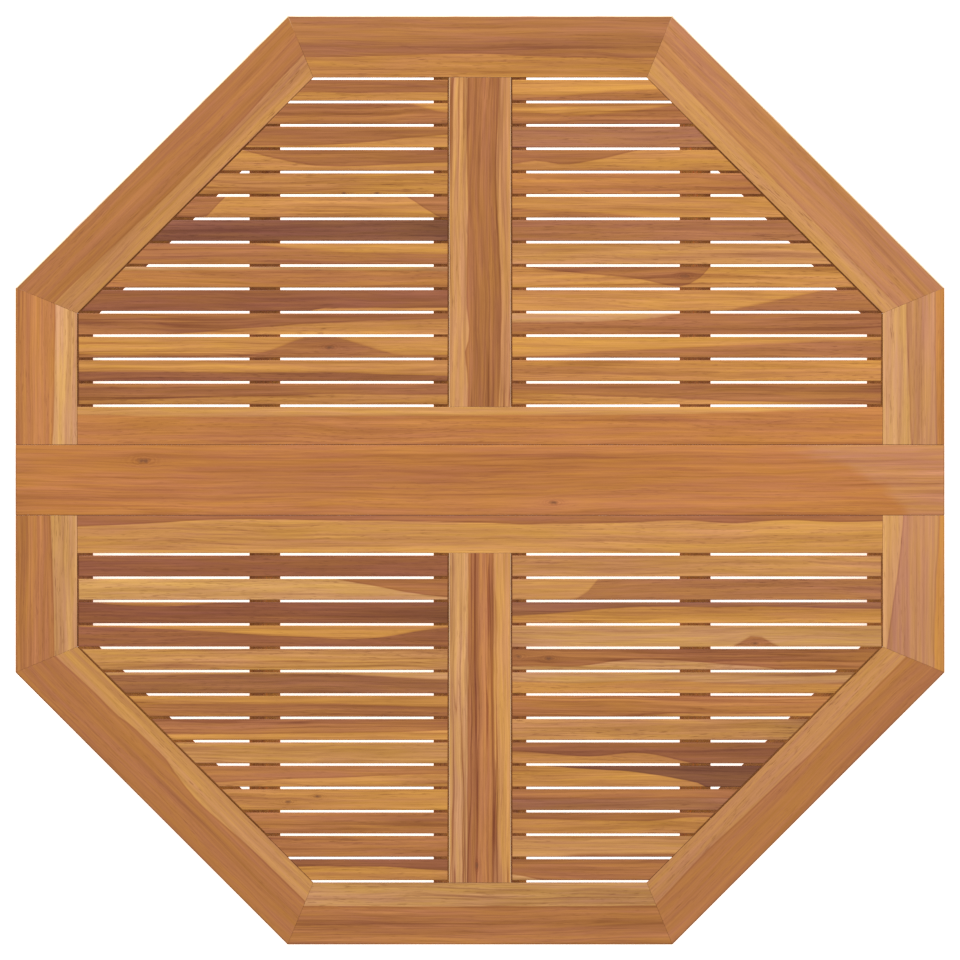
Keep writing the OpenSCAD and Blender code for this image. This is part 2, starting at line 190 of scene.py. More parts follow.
def teak(name, tones=None, axis=None, streak=1.0, lines=0.5, pores=0.5, rough=0.50, shift=0.0, painted_glow=0.0, tilt=0.0, rims=1.0):
    """Oiled teak. With tones and axis it reads the object's own coordinates, for the plain
    members; without them it reads the grain, the tones and the boundaries of each board."""
    t = Tree(name)
    look = None
    if axis is None:
        p = t.attribute("grain")
        look = t.split(t.attribute("look"))
    else:
        o = t.node("ShaderNodeTexCoord").outputs["Object"]
        x, y, z = t.split(o)
        if tilt:
            c, s = math.cos(math.radians(tilt)), math.sin(math.radians(tilt))
            x, z = (t.math("ADD", t.math("MULTIPLY", x, c), t.math("MULTIPLY", z, s)),
                    t.math("SUBTRACT", t.math("MULTIPLY", z, c), t.math("MULTIPLY", x, s)))
        order = {"x": (x, y, z), "y": (y, z, x), "z": (z, x, y)}[axis]
        p = t.vec("ADD", t.join(*order), (shift, shift * 0.37, shift * 0.71))
    cores, rings = [], []
    if axis is None:
        for k in ("knot_a", "knot_b"):
            p, c, r = knot(t, p, k)
            cores.append(c)
            rings.append(r)
    # slow waves that bend every streak of a board
    slow = t.math("SUBTRACT", t.noise(p, (3.2, 9.0, 9.0), 2.0), 0.5)
    fine = t.math("SUBTRACT", t.noise(p, (16.0, 40.0, 40.0), 2.0), 0.5)
    bend = t.math("MULTIPLY_ADD", slow, 0.016, t.math("MULTIPLY", fine, 0.0022))
    q = t.vec("ADD", p, t.join(0.0, bend, t.math("MULTIPLY", bend, 0.6)))

    # the boundary between two tones, waving a little
    if axis is None:
        wave = t.math("MULTIPLY_ADD", slow, 0.0045, t.math("MULTIPLY", fine, 0.0030))
        band = t.math("ADD", t.attribute("band", "Fac"), wave)
        side = t.span(band, -0.0007, 0.0009)
        col = t.mix(side, t.attribute("tone_a", "Color"), t.attribute("tone_b", "Color"))
        rim = t.math("POWER", t.span(t.math("ABSOLUTE", t.math("ADD", band, 0.0006)), 0.0026, 0.0), 1.5)
        band2 = t.math("ADD", t.attribute("band2", "Fac"), t.math("MULTIPLY", wave, 1.3))
        col = t.mix(t.span(band2, -0.0010, 0.0012), col, t.attribute("tone_c", "Color"))
        rim2 = t.span(t.math("ABSOLUTE", t.math("ADD", band2, 0.0008)), 0.0019, 0.0003)
    else:
        wave = t.math("ADD", t.noise(q, (1.1, 22.0, 22.0), 2.0), t.math("MULTIPLY", fine, 0.10))
        col = t.mix(t.span(wave, 0.49, 0.55), tone(tones[0]), tone(tones[1]))
        rim = 0.0

    # streaks at three scales: 25 mm, 7 mm and 2 mm across the grain
    s1 = t.math("SUBTRACT", t.noise(q, (1.1, 42.0, 42.0), 2.0), 0.5)
    s2 = t.math("SUBTRACT", t.noise(q, (3.0, 150.0, 150.0), 3.0, 0.55), 0.5)
    s3 = t.math("SUBTRACT", t.noise(q, (11.0, 620.0, 620.0), 2.0), 0.5)
    k = look[0] if look is not None else streak
    s = t.math("MULTIPLY_ADD", s1, 1.15, t.math("MULTIPLY_ADD", s2, 1.05, t.math("MULTIPLY", s3, 0.95)))
    s = t.math("MULTIPLY", s, k)
    level = t.math("ADD", s, 0.5, clamp=True)
    dark = t.mix(1.0, col, (0.63, 0.53, 0.46), "MULTIPLY")
    pale = t.mix(1.0, col, (1.26, 1.32, 1.32), "MULTIPLY")
    col = t.mix(level, dark, pale)

    # golden and pinkish patches that follow the grain
    for scale, lo, hi in (((3.5, 46.0, 46.0), 0.36, 0.64), ((13.0, 210.0, 210.0), 0.34, 0.66)):
        h = t.span(t.noise(q, scale, 2.0), lo, hi)
        h = t.math("MULTIPLY_ADD", h, 0.76, 0.08)
        col = t.mix(h, t.mix(1.0, col, (1.02, 1.035, 0.85), "MULTIPLY"), t.mix(1.0, col, (0.99, 0.958, 1.13), "MULTIPLY"))

    # thin dark growth lines
    g = t.noise(q, (0.8, 78.0, 78.0), 2.0, 0.55)
    gate = t.span(t.noise(q, (2.2, 16.0, 16.0), 1.0), 0.46, 0.62)
    vein = t.math("MULTIPLY", ridge(t, g, 26.0), gate)
    vein = t.math("MULTIPLY", vein, look[1] if look is not None else lines)
    col = t.mix(vein, col, t.mix(1.0, col, (0.56, 0.40, 0.36), "MULTIPLY"))
    if axis is None:
        col = t.mix(t.math("MULTIPLY", rim, 0.38 * rims), col, t.mix(1.0, col, (0.66, 0.50, 0.42), "MULTIPLY"))
        col = t.mix(t.math("MULTIPLY", rim2, 0.45 * rims), col, t.mix(1.0, col, (0.60, 0.44, 0.38), "MULTIPLY"))

    # open pores: short dark dashes along the grain
    pore = t.span(t.noise(q, (64.0, 900.0, 900.0), 1.0), 0.585, 0.72)
    patch = t.span(t.noise(q, (5.0, 60.0, 60.0), 1.0), 0.38, 0.62, 0.35, 1.0)
    pore = t.math("MULTIPLY", pore, patch)
    pore = t.math("MULTIPLY", pore, look[2] if look is not None else pores)
    if axis is None:
        pore = t.math("MULTIPLY", pore, t.math("MULTIPLY_ADD", side, 0.45, 0.55))
    col = t.mix(pore, col, t.mix(1.0, col, (0.50, 0.38, 0.31), "MULTIPLY"))

    for c, r in zip(cores, rings):
        col = t.mix(t.math("MULTIPLY", r, 0.50), col, t.mix(1.0, col, (0.60, 0.44, 0.36), "MULTIPLY"))
        col = t.mix(t.math("MULTIPLY", c, 0.80), col, (0.200, 0.072, 0.028))
    if axis is None:
        # the eased edges: painted shade along the seams and gaps, or a painted highlight where the edge value is
        # negative
        depth, edge = t.attribute("depth", "Fac"), t.attribute("edge", "Fac")
        m = t.math("MULTIPLY", t.span(depth, 0.00002, 0.00022), t.span(depth, 0.0024, 0.0012))
        m = t.math("MULTIPLY", m, t.span(t.noise(p, (30.0, 30.0, 30.0), 2.0), 0.25, 0.55, 0.6, 1.0))
        col = t.mix(t.math("MULTIPLY", m, edge, clamp=True), col, t.mix(1.0, col, (0.34, 0.24, 0.22), "MULTIPLY"))
        # painted highlight: the eased edge turned pale cream
        painted_highlight_mask = t.math("MULTIPLY", t.math("MULTIPLY", m, edge), -1.0, clamp=True)
        col = t.mix(painted_highlight_mask, col, (1.0, 0.84, 0.60))
        sh = t.attribute("shade", "Fac")
        col = t.mix(1.0, col, t.join(sh, sh, sh), "MULTIPLY")
    t.put(t.bsdf.inputs["Base Color"], col)
    # painted light: the surface also emits its own colour, lifting members that sit in shade under the top
    if painted_glow:
        t.put(t.bsdf.inputs["Emission Color"], col)
        t.bsdf.inputs["Emission Strength"].default_value = painted_glow

    wear = t.noise(q, (24.0, 190.0, 190.0), 2.0)
    t.put(t.bsdf.inputs["Roughness"], t.span(wear, 0.3, 0.7, rough - 0.07, rough + 0.10, smooth=False))
    t.bsdf.inputs["IOR"].default_value = 1.45
    t.bsdf.inputs["Specular IOR Level"].default_value = 0.32
    height = t.math("MULTIPLY_ADD", s3, 0.6, t.math("MULTIPLY", pore, -0.9))
    bump = t.node("ShaderNodeBump")
    bump.inputs["Strength"].default_value = 0.35
    bump.inputs["Distance"].default_value = 0.00035
    t.put(bump.inputs["Height"], height)
    t.put(t.bsdf.inputs["Normal"], bump.outputs[0])
    return t.mat


def metal(name, colour, rough, brush=(1, 1, 1), stain=None):
    """Brushed metal with faint lines along one direction and a little staining."""
    t = Tree(name)
    o = t.node("ShaderNodeTexCoord").outputs["Object"]
    n = t.noise(o, brush, 2.0)
    blot = t.noise(o, (70, 70, 70), 3.0, 0.6)
    c = t.mix(t.span(blot, 0.35, 0.7), colour, stain or [x * 0.82 for x in colour])
    c = t.mix(t.math("MULTIPLY", n, 0.25), c, [x * 0.75 for x in colour])
    t.put(t.bsdf.inputs["Base Color"], c)
    t.bsdf.inputs["Metallic"].default_value = 1.0
    t.put(t.bsdf.inputs["Roughness"], t.span(n, 0.3, 0.7, rough - 0.08, rough + 0.10, smooth=False))
    bump = t.node("ShaderNodeBump")
    bump.inputs["Strength"].default_value = 0.2
    bump.inputs["Distance"].default_value = 0.0001
    t.put(bump.inputs["Height"], n)
    t.put(t.bsdf.inputs["Normal"], bump.outputs[0])
    return t.mat


def moulded(name, colour, rough, grain=900.0):
    """Rubber or plastic with a fine moulded texture and scuffs."""
    t = Tree(name)
    o = t.node("ShaderNodeTexCoord").outputs["Object"]
    n = t.noise(o, (grain, grain, grain), 2.0)
    scuff = t.span(t.noise(o, (120, 120, 40), 3.0, 0.6), 0.52, 0.72)
    c = t.mix(t.math("MULTIPLY", scuff, 0.5), colour, [min(1.0, x * 1.9 + 0.03) for x in colour])
    t.put(t.bsdf.inputs["Base Color"], t.mix(t.math("MULTIPLY", n, 0.3), c, [x * 0.6 for x in colour]))
    t.put(t.bsdf.inputs["Roughness"], t.span(scuff, 0.0, 1.0, rough, min(1.0, rough + 0.2)))
    t.bsdf.inputs["Specular IOR Level"].default_value = 0.35
    bump = t.node("ShaderNodeBump")
    bump.inputs["Strength"].default_value = 0.3
    bump.inputs["Distance"].default_value = 0.0002
    t.put(bump.inputs["Height"], n)
    t.put(t.bsdf.inputs["Normal"], bump.outputs[0])
    return t.mat


# ---------------------------------------------------------------- boards
def curve(points, u):
    """Smooth curve through (u, value) points, level beyond its ends."""
    if u <= points[0][0]:
        return points[0][1]
    if u >= points[-1][0]:
        return points[-1][1]
    for k in range(len(points) - 1):
        (u0, a), (u1, b) = points[k], points[k + 1]
        if u0 <= u <= u1:
            prev = points[k - 1] if k else (2 * u0 - u1, a)
            nxt = points[k + 2] if k + 2 < len(points) else (2 * u1 - u0, b)
            w = u1 - u0
            m0 = (b - prev[1]) / max(1e-6, u1 - prev[0]) * w
            m1 = (nxt[1] - a) / max(1e-6, nxt[0] - u0) * w
            x = (u - u0) / w
            y = ((2 * x ** 3 - 3 * x ** 2 + 1) * a + (x ** 3 - 2 * x ** 2 + x) * m0
                 + (3 * x ** 2 - 2 * x ** 3) * b + (x ** 3 - x ** 2) * m1)
            lo, hi = min(a, b), max(a, b)
            return min(max(y, lo - 0.15 * (hi - lo)), hi + 0.15 * (hi - lo))
    return points[-1][1]


def applied(ob):
    """The object's mesh with its modifiers applied."""
    dg = bpy.context.evaluated_depsgraph_get()
    dg.update()
    return bpy.data.meshes.new_from_object(ob.evaluated_get(dg))


def cutter(boxes):
    """One closed mesh of boxes, from (low corner, high corner) pairs in mm."""
    bm = bmesh.new()
    for lo, hi in boxes:
        lo, hi = Vector(lo) * MM, Vector(hi) * MM
        m = Matrix.Translation((lo + hi) / 2) @ Matrix.Diagonal((*(hi - lo), 1.0))
        bmesh.ops.create_cube(bm, size=1.0, matrix=m)
    me = bpy.data.meshes.new("cut")
    bm.to_mesh(me)
    bm.free()
    ob = bpy.data.objects.new("cut", me)
    bpy.context.scene.collection.objects.link(ob)
    return ob


class Piece:
    """Collects boards into one mesh, with what the wood material reads on every vertex."""

    NAMES = ("grain", "tone_a", "tone_b", "tone_c", "band", "band2", "knot_a", "knot_b", "look", "shade", "depth", "edge")
    count = 0

    def __init__(self):
        self.verts, self.faces, self.soft = [], [], []
        self.data = {k: [] for k in self.NAMES}

    def board(self, outline, z0, z1, ang=0.0, org=(0.0, 0.0), ease=1.0, eases=None, step=14.0,
              tones=("O", "O", "O"), band=None, band2=None, knots=(), shade=None,
              look=(1.0, 0.5, 0.5), cuts=None, edge=(0.0, 0.5, 0.5), soft=1.0):
        """A board from its plan outline in mm, anticlockwise. ang is the direction of the grain.
        eases gives the rounding of each side's top edge where they differ. band and band2 give
        the v of the boundary along u: tone 0 above it and tone 1 below it, and tone 2 above band2.
        soft below 1 widens the change between the tones.
        edge is (v, below, above): how much painted shade the eased edges get on each side of v, or painted highlight if
        negative."""
        ca, sa = math.cos(math.radians(ang)), math.sin(math.radians(ang))
        ox, oy = org
        loc = [((x - ox) * ca + (y - oy) * sa, -(x - ox) * sa + (y - oy) * ca) for x, y in outline]
        n = len(loc)
        us = sorted(p[0] for p in loc)
        keys = [us[0]]
        for u in us[1:]:
            if u - keys[-1] > 0.01:
                keys.append(u)
        stations = [keys[0]]
        for a, b in zip(keys, keys[1:]):
            m = max(1, int((b - a) / step))
            stations += [a + (b - a) * k / m for k in range(1, m + 1)]

        def ends(u):
            vs = []
            for k in range(n):
                (u0, v0), (u1, v1) = loc[k], loc[(k + 1) % n]
                if abs(u1 - u0) <= 0.01:
                    if abs(u - u0) <= 0.02:
                        vs += [v0, v1]
                elif min(u0, u1) - 0.01 <= u <= max(u0, u1) + 0.01:
                    vs.append(v0 + (v1 - v0) * min(1.0, max(0.0, (u - u0) / (u1 - u0))))
            return min(vs), max(vs)

        bm = bmesh.new()

        def vert(u, v, z):
            return bm.verts.new(((ox + u * ca - v * sa) * MM, (oy + u * sa + v * ca) * MM, z * MM))

        rows = []
        for u in stations:
            lo, hi = ends(u)
            if hi - lo < 0.02:
                a, b = vert(u, lo, z1), vert(u, lo, z0)
                rows.append((a, a, b, b))
            else:
                rows.append((vert(u, lo, z1), vert(u, hi, z1), vert(u, lo, z0), vert(u, hi, z0)))

        def face(*vs):
            vs = list(dict.fromkeys(vs))
            if len(vs) > 2:
                bm.faces.new(vs)

        for p, q in zip(rows, rows[1:]):
            face(p[0], q[0], q[1], p[1])
            face(p[2], p[3], q[3], q[2])
            face(p[2], q[2], q[0], p[0])
            face(p[3], p[1], q[1], q[3])
        face(rows[0][0], rows[0][1], rows[0][3], rows[0][2])
        face(rows[-1][0], rows[-1][2], rows[-1][3], rows[-1][1])
        bmesh.ops.recalc_face_normals(bm, faces=bm.faces)

        eases = eases or [ease] * n
        top = max(eases)
        layer = bm.edges.layers.float.new("bevel_weight_edge")

        def nearest(p):
            """The outline sides next to a point, nearest first."""
            d = []
            for k in range(n):
                a, b = Vector(outline[k]), Vector(outline[(k + 1) % n])
                s = max(0.0, min(1.0, (p - a).dot(b - a) / (b - a).length_squared))
                d.append(((a + (b - a) * s - p).length, k))
            return [k for _, k in sorted(d)]

        for e in bm.edges:
            if len(e.link_faces) == 2 and e.calc_face_angle(0.0) > 0.3:
                mid = (e.verts[0].co + e.verts[1].co) / 2 / MM
                near = nearest(Vector((mid.x, mid.y)))
                upright = abs(e.verts[0].co.z - e.verts[1].co.z) > 1e-5
                if upright:
                    w = min(eases[near[0]], eases[near[1]])
                else:
                    w = eases[near[0]] * (1.0 if mid.z > (z0 + z1) / 2 else 0.7)
                e[layer] = w / top
        me = bpy.data.meshes.new("board")
        bm.to_mesh(me)
        bm.free()
        ob = bpy.data.objects.new("board", me)
        bpy.context.scene.collection.objects.link(ob)
        b = ob.modifiers.new("ease", "BEVEL")
        b.limit_method, b.width, b.segments = "WEIGHT", top * MM, 2
        cut = None
        if cuts:
            cut = cutter(cuts)
            d = ob.modifiers.new("cut", "BOOLEAN")
            d.operation, d.solver, d.object = "DIFFERENCE", "EXACT", cut
        done = applied(ob)
        for o in (ob, cut):
            if o is not None:
                old = o.data
                bpy.data.objects.remove(o)
                bpy.data.meshes.remove(old)

        first = len(self.verts)
        Piece.count += 1
        seed = Piece.count
        off = (seed * 0.731 % 3.0, seed * 1.377 % 5.0, seed * 2.113 % 4.0)
        cols = [(*tone(k), 1.0) for k in tones]
        far = (9.0, 9.0, 0.01)
        ks = [*knots, None, None][:2]
        for v in done.vertices:
            x, y, z = v.co / MM
            u, w = (x - ox) * ca + (y - oy) * sa, -(x - ox) * sa + (y - oy) * ca
            self.verts.append(tuple(v.co))
            self.data["grain"].append((u * MM + off[0], w * MM + off[1], z * MM + off[2]))
            for k, c in zip(("tone_a", "tone_b", "tone_c"), cols):
                self.data[k].append(c)
            self.data["band"].append(((curve(band, u) - w) * MM * soft) if band else -0.1)
            self.data["band2"].append(((w - curve(band2, u)) * MM * soft) if band2 else -0.1)
            for name, kn in zip(("knot_a", "knot_b"), ks):
                self.data[name].append(((u - kn[0]) * MM, (w - kn[1]) * MM, kn[2] * MM) if kn else far)
            self.data["look"].append(look)
            self.data["shade"].append(curve(shade, u) if shade else 1.0)
            self.data["depth"].append((z1 - z) * MM)
            self.data["edge"].append(edge[2] if w > edge[0] else edge[1])
        side = [Vector((0, 0, 1))]
        for k in range(n):
            e = Vector(outline[(k + 1) % n]) - Vector(outline[k])
            side.append(Vector((e.y, -e.x, 0)).normalized())
        for p in done.polygons:
            self.faces.append([first + i for i in p.vertices])
            self.soft.append(not any(abs(p.normal.dot(s)) > 0.999 for s in side))
        bpy.data.meshes.remove(done)
        return self

    def make(self, name, material, body, slot, *replaced):
        me = bpy.data.meshes.new(name)
        me.from_pydata(self.verts, [], self.faces)
        me.polygons.foreach_set("use_smooth", self.soft)
        kinds = {"band": "FLOAT", "band2": "FLOAT", "shade": "FLOAT", "depth": "FLOAT", "edge": "FLOAT",
                 "tone_a": "FLOAT_COLOR", "tone_b": "FLOAT_COLOR", "tone_c": "FLOAT_COLOR"}
        for k in self.NAMES:
            kind = kinds.get(k, "FLOAT_VECTOR")
            a = me.attributes.new(k, kind, "POINT")
            if kind == "FLOAT":
                a.data.foreach_set("value", self.data[k])
            else:
                flat = [x for row in self.data[k] for x in row]
                a.data.foreach_set("color" if kind == "FLOAT_COLOR" else "vector", flat)
        me.materials.append(material)
        ob = bpy.data.objects.new(name, me)
        bpy.context.scene.collection.objects.link(ob)
        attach(ob, body)
        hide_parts(*replaced)
        return ob


# ---------------------------------------------------------------- materials
wood_plank = teak("teak_plank", rough=0.47, rims=0.0)
wood_frame = teak("teak_frame", rough=0.49)
wood_slats = teak("teak_slats", rough=0.50)
# the ledgers glow with their own colour: painted light in the shade under the slats
wood_under = teak("teak_under", rough=0.55, painted_glow=0.30)

# ---------------------------------------------------------------- the centre plank
p = Piece()
# edge 0.9: painted shade on the eased edges, a dark line along the seams with the leaves
p.board([(-A, -PLANK), (A, -PLANK), (A, PLANK), (-A, PLANK)], Z_LOW, Z_TOP, eases=[0.7, 1.2, 0.7, 1.2],
        tones=("Y", "YYO", "WWY"), soft=0.10, edge=(0, 0.9, 0.9),
        band=[(-600, -50), (-430, -30), (-250, 8), (-60, -6), (150, 4), (330, 12), (470, -20), (600, -50)],
        band2=[(-600, 75), (250, 75), (430, 30), (525, -20), (565, -60), (600, -60)],
        knots=[(-435, 25, 7.5), (95, -29, 5.0)],
        shade=[(-600, 0.98), (-530, 1.05), (-200, 1.03), (100, 1.04), (420, 1.12), (600, 1.12)],
        look=(0.75, 0.5, 0.35),
        cuts=[((x - 31, s[0], 725), (x + 31, s[1], 730.5)) for x in HINGES for s in ((41, 46), (-46, -41))])
p.make("centre_plank_board", wood_plank, "base", "teak_plank", "centre_plank")

# ---------------------------------------------------------------- the boards of the two leaves
# the outer edge is on the v > 0 side of each board; 28 mm of paler sapwood run along the inner edge
# rim: painted shade on the outer eased edge, or a painted highlight where it is negative; the inner eased edges get
# painted shade 0.9
FRAME_BOARDS = {
    "rear_outer_board": dict(rim=-0.95, turn=90, tones=("OBM", "OG", "O"),
                             band=[(-215, 27), (-120, 28), (-30, 31), (60, 28), (150, 26), (215, 25)],
                             look=(0.9, 0.5, 0.6), shade=[(-200, 0.90), (0, 0.93), (200, 0.91)]),
    "rear_left_diagonal": dict(rim=-0.9, turn=135, tones=("OB", "OT", "O"), shade=[(-300, 0.93), (300, 0.93)],
                               band=[(-220, 31), (-120, 29), (-20, 26), (80, 26), (160, 28), (220, 30)],
                               look=(0.6, 0.25, 0.75)),
    "rear_right_diagonal": dict(rim=-0.9, turn=45, tones=("OW", "TTO", "O"), shade=[(-300, 1.0), (300, 1.0)],
                                band=[(-220, 26), (0, 23), (220, 21)],
                                look=(0.55, 0.25, 0.7)),
    "rear_left_end_board": dict(rim=0.2, turn=180, tones=("O", "S", "O"), band=[(46, 32), (60, 31), (220, 28)],
                                look=(0.9, 0.4, 0.8)),
    "rear_right_end_board": dict(rim=0.2, turn=0, tones=("W", "S", "O"), shade=[(-220, 1.04), (0, 1.04)], band=[(-220, 31), (-140, 34), (-46, 36)],
                                 band2=[(-220, 68), (-46, 71)], look=(0.8, 0.45, 0.7)),
    "front_outer_board": dict(turn=-90, tones=("BO", "T", "O"), band=[(-215, 30), (0, 31), (215, 30)],
                              look=(1.1, 0.5, 0.6)),
    "front_left_diagonal": dict(turn=-135, tones=("OB", "TG", "O"),
                                band=[(-220, 24), (-120, 26), (-32, 31), (11, 26), (33, 22), (93, 22), (111, 26), (150, 26), (220, 28)],
                                look=(0.55, 0.3, 0.65)),
    "front_right_diagonal": dict(turn=-45, tones=("OB", "OT", "O"),
                                 band=[(-220, 30), (-80, 31), (60, 28), (150, 26), (220, 29)],
                                 look=(0.55, 0.25, 0.7)),
    "front_left_end_board": dict(rim=0.3, turn=180, tones=("OB", "T", "O"), band=[(-220, 30), (-130, 32), (-46, 35)],
                                 look=(1.0, 0.5, 0.7)),
    "front_right_end_board": dict(rim=0.3, turn=0, tones=("W", "U", "GO"), shade=[(46, 1.10), (220, 1.06)], band=[(46, 26), (120, 19), (220, 6)],
                                  band2=[(46, 72), (220, 66)], look=(0.6, 0.35, 0.6)),
}
for name, b in FRAME_BOARDS.items():
    phi = math.radians(b["turn"])
    c, s = math.cos(phi), math.sin(phi)
    half_out, half_in = HO, HI
    # outline with the outward direction along +X, then turned by phi
    if "end" in name:
        rear = name.startswith("rear")
        if (b["turn"] == 0) == rear:
            pts = [(B, LEAF), (A, LEAF), (A, HO), (B, HI)]
            es = [0.7, 1.5, 0.45, 0.7]
        else:
            pts = [(B, -HI), (A, -HO), (A, -LEAF), (B, -LEAF)]
            es = [0.45, 1.5, 0.7, 0.7]
    else:
        pts = [(B, -HI), (A, -HO), (A, HO), (B, HI)]
        es = [0.45, 1.9 if b.get("rim", 0) < -0.5 else 1.5, 0.45, 0.7]
    outline = [(x * c - y * s, x * s + y * c) for x, y in pts]
    p = Piece()
    p.board(outline, Z_LOW, Z_TOP, ang=b["turn"] - 90, org=(B * c, B * s), eases=es, tones=b["tones"],
            band=b["band"], band2=b.get("band2"), knots=b.get("knots", ()), shade=b.get("shade"), look=b["look"],
            edge=(76, 0.9, b.get("rim", 0.5)))
    p.make(name + "_wood", wood_frame, name.split("_")[0] + "_leaf", "teak_frame", name)

# ---------------------------------------------------------------- inner rails
p = Piece()
# painted shade on the eased edges, darker along the seam with the plank
p.board([(-B, LEAF), (B, LEAF), (B, RAIL), (-B, RAIL)], Z_LOW, Z_TOP, eases=[0.7, 0.35, 0.7, 0.35], edge=(70, 0.9, 0.5),
        tones=("TG", "YYO", "O"),
        band=[(-520, 84), (-340, 82), (-150, 83), (60, 84), (240, 85), (400, 89), (520, 95)],
        look=(0.85, 0.6, 0.45), shade=[(-520, 1.02), (0, 1.03), (300, 1.10), (520, 1.13)],
        cuts=[((x - 31, 45, 725), (x + 31, 50, 730.5)) for x in HINGES])
p.make("rear_inner_rail_wood", wood_frame, "rear_leaf", "teak_frame", "rear_inner_rail")

p = Piece()
# painted shade on the eased edges, darker along the seam with the plank
p.board([(-B, -RAIL), (B, -RAIL), (B, -LEAF), (-B, -LEAF)], Z_LOW, Z_TOP, eases=[0.7, 0.35, 0.7, 0.35], edge=(-70, 0.5, 0.9),
        tones=("RB", "TGG", "O"),
        band=[(-520, -59), (-430, -55), (-336, -51), (-200, -52), (-60, -53), (60, -56), (170, -55),
              (260, -52), (330, -55), (400, -51), (460, -54), (520, -52)],
        look=(0.9, 0.7, 0.5), shade=[(-520, 1.04), (0, 1.03), (520, 1.08)],
        cuts=[((x - 31, -50, 725), (x + 31, -45, 730.5)) for x in HINGES])
p.make("front_inner_rail_wood", wood_frame, "front_leaf", "teak_frame", "front_inner_rail")

# ---------------------------------------------------------------- centre stiles, grain along Y
# u runs along -Y and v towards +X: tone 1 on the left, tone 0 in the middle, tone 2 on the right
# edge below 0: painted highlight along the eased edges of the stiles
p = Piece()
p.board([(-STILE, RAIL), (STILE, RAIL), (STILE, B), (-STILE, B)], Z_LOW, Z_TOP, ang=-90,
        eases=[0.25, 1.0, 0.25, 1.0], tones=("B", "TTO", "OT"), shade=[(-520, 0.98), (0, 0.98)],
        band=[(-520, -15), (-430, -17), (-330, -16), (-230, -17), (-185, -14), (-165, -19), (-130, -15), (-94, -16)],
        band2=[(-520, 25), (-400, 21), (-300, 25), (-200, 27), (-94, 24)],
        look=(1.35, 1.5, 0.5), edge=(0, -0.55, -0.55))
p.make("rear_centre_stile_wood", wood_frame, "rear_leaf", "teak_frame", "rear_centre_stile")

p = Piece()
p.board([(-STILE, -B), (STILE, -B), (STILE, -RAIL), (-STILE, -RAIL)], Z_LOW, Z_TOP, ang=-90,
        eases=[0.25, 1.0, 0.25, 1.0], tones=("OB", "T", "OT"), shade=[(0, 1.03), (520, 1.03)],
        band=[(94, -15), (200, -15), (300, -16), (400, -16), (520, -17)],
        band2=[(94, 18), (250, 17), (400, 19), (520, 18)],
        knots=[(498, -4, 4.0)], look=(1.3, 1.5, 0.5), edge=(0, -0.55, -0.55))
p.make("front_centre_stile_wood", wood_frame, "front_leaf", "teak_frame", "front_centre_stile")

